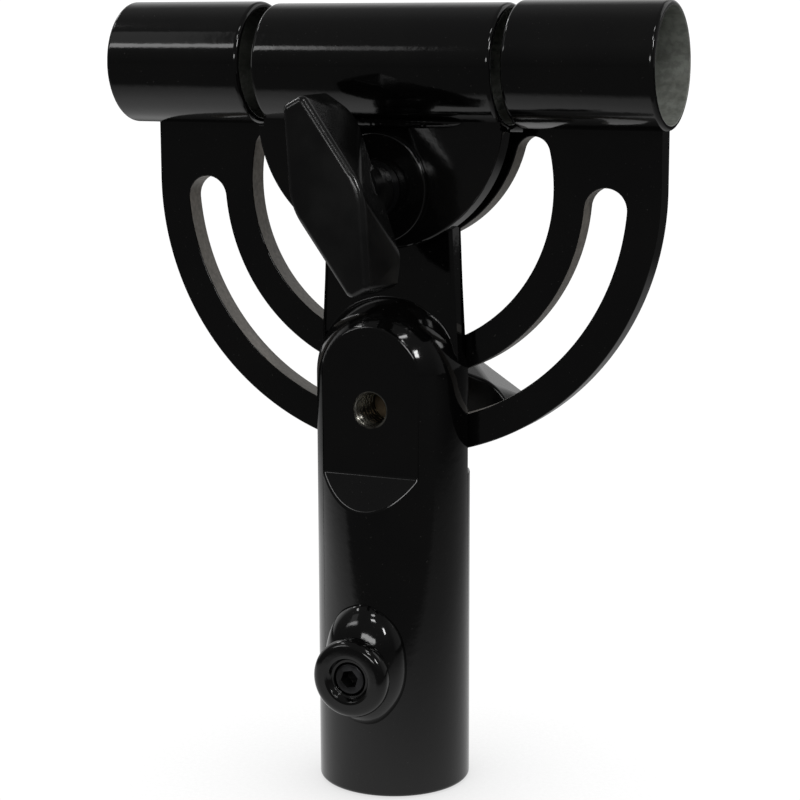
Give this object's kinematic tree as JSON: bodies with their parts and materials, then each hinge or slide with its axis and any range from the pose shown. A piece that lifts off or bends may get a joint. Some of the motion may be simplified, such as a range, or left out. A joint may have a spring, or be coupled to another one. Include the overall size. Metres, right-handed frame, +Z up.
{
  "type": "umbrella swivel bracket",
  "caption": "Tilting bracket with a socket for a stand pin, a clamping tee knob, an arc-slotted head plate and a split sleeve that grips an umbrella pole.",
  "frame": {"origin": "centre of the stand socket's mouth, at the foot of the receiver bar", "axes": "+Z up the bar, +X along the pole sleeves, the tee knob faces -Y"},
  "size_m": [0.142, 0.0761, 0.1949],
  "materials": {
    "gloss_black_paint": "gloss",
    "moulded_black": "satin",
    "zinc_steel": "satin",
    "black_oxide_steel": "satin",
    "brass": "satin"
  },
  "bodies": {
    "receiver": {"receiver_bar": "gloss_black_paint", "screw_boss": "gloss_black_paint", "boss_weld": "gloss_black_paint"},
    "head": {"slotted_plate": "gloss_black_paint", "left_sleeve": "gloss_black_paint", "right_sleeve": "gloss_black_paint", "left_weld_rear": "gloss_black_paint", "right_weld_rear": "gloss_black_paint", "pivot_bolt": "zinc_steel"},
    "clamp": {"middle_sleeve": "gloss_black_paint", "half_disc_plate": "gloss_black_paint", "middle_weld_front": "gloss_black_paint", "knob_washer": "gloss_black_paint"},
    "knob": {"tee_knob": "moulded_black", "tee_knob_collar": "black_oxide_steel"},
    "lock_slide": {"lock_washer": "zinc_steel"},
    "lock_turn": {"lock_knob": "moulded_black", "lock_screw": "zinc_steel"},
    "tip": {"set_screw_tip": "brass"},
    "screw": {"set_screw": "black_oxide_steel"}
  },
  "joints": [
    {"name": "head_tilt", "type": "hinge", "parent": "receiver", "child": "head", "pos_m": [0, 0, 0.1504], "axis": [0, 1, 0], "range_deg": [-70, 70]},
    {"name": "clamp_release", "type": "slide", "parent": "head", "child": "clamp", "axis": [0, -1, 0], "range_m": [0, 0.00159]},
    {"name": "tee_knob_turn", "type": "hinge", "parent": "clamp", "child": "knob", "pos_m": [0, -0.03, 0.1504], "axis": [0, -1, 0], "range_deg": [0, 360]},
    {"name": "lock_release", "type": "slide", "parent": "receiver", "child": "lock_slide", "axis": [0, 1, 0], "range_m": [0, 0.00317]},
    {"name": "lock_knob_turn", "type": "hinge", "parent": "lock_slide", "child": "lock_turn", "pos_m": [0, 0.025, 0.0968], "axis": [0, 1, 0], "range_deg": [0, 720]},
    {"name": "tip_feed", "type": "slide", "parent": "receiver", "child": "tip", "axis": [0, 1, 0], "range_m": [0, 0.00282]},
    {"name": "set_screw_turn", "type": "hinge", "parent": "tip", "child": "screw", "pos_m": [0, -0.022, 0.0324], "axis": [0, 1, 0], "range_deg": [0, 720]}
  ],
  "couplings": [
    {"joint": "tee_knob_turn", "follows": "clamp_release", "rad_per_m": 3957.9},
    {"joint": "lock_knob_turn", "follows": "lock_release", "rad_per_m": 3957.9},
    {"joint": "set_screw_turn", "follows": "tip_feed", "rad_per_m": 4452.6}
  ]
}
